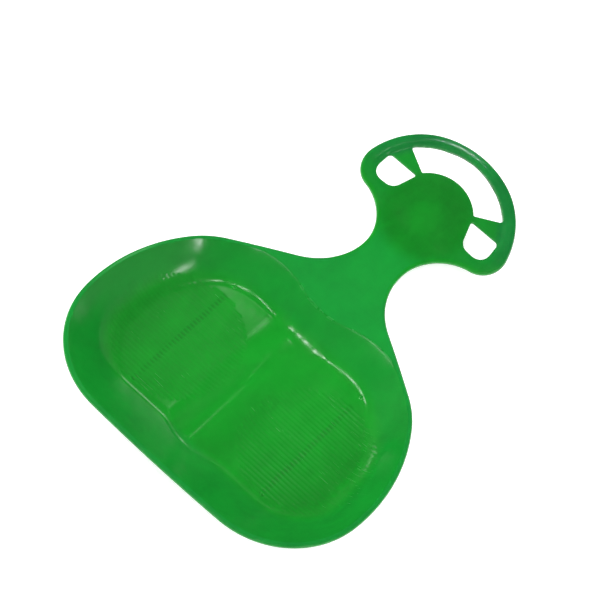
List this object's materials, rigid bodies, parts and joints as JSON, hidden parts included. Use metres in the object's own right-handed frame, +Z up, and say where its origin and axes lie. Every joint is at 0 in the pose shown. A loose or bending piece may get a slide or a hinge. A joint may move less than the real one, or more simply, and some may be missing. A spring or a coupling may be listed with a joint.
{
  "type": "snow slider",
  "caption": "One-piece moulded snow slider with a two-lobed seat pan, waisted neck and a wheel-shaped handle with hand and finger openings.",
  "frame": {"origin": "middle of the footprint, on the plane that the two runners rest on", "axes": "+X to the rider's right, +Y from the seat towards the handle, +Z up"},
  "size_m": [0.3992, 0.5626, 0.0578],
  "materials": {
    "shell_plastic": "glossy injection-moulded polyethylene, through-coloured green"
  },
  "bodies": {
    "root": {"seat_pan": "shell_plastic", "rim_flange": "shell_plastic", "neck_plate": "shell_plastic", "handle_plate": "shell_plastic", "grip_bow": "shell_plastic", "runner_left": "shell_plastic", "runner_right": "shell_plastic"}
  },
  "joints": []
}
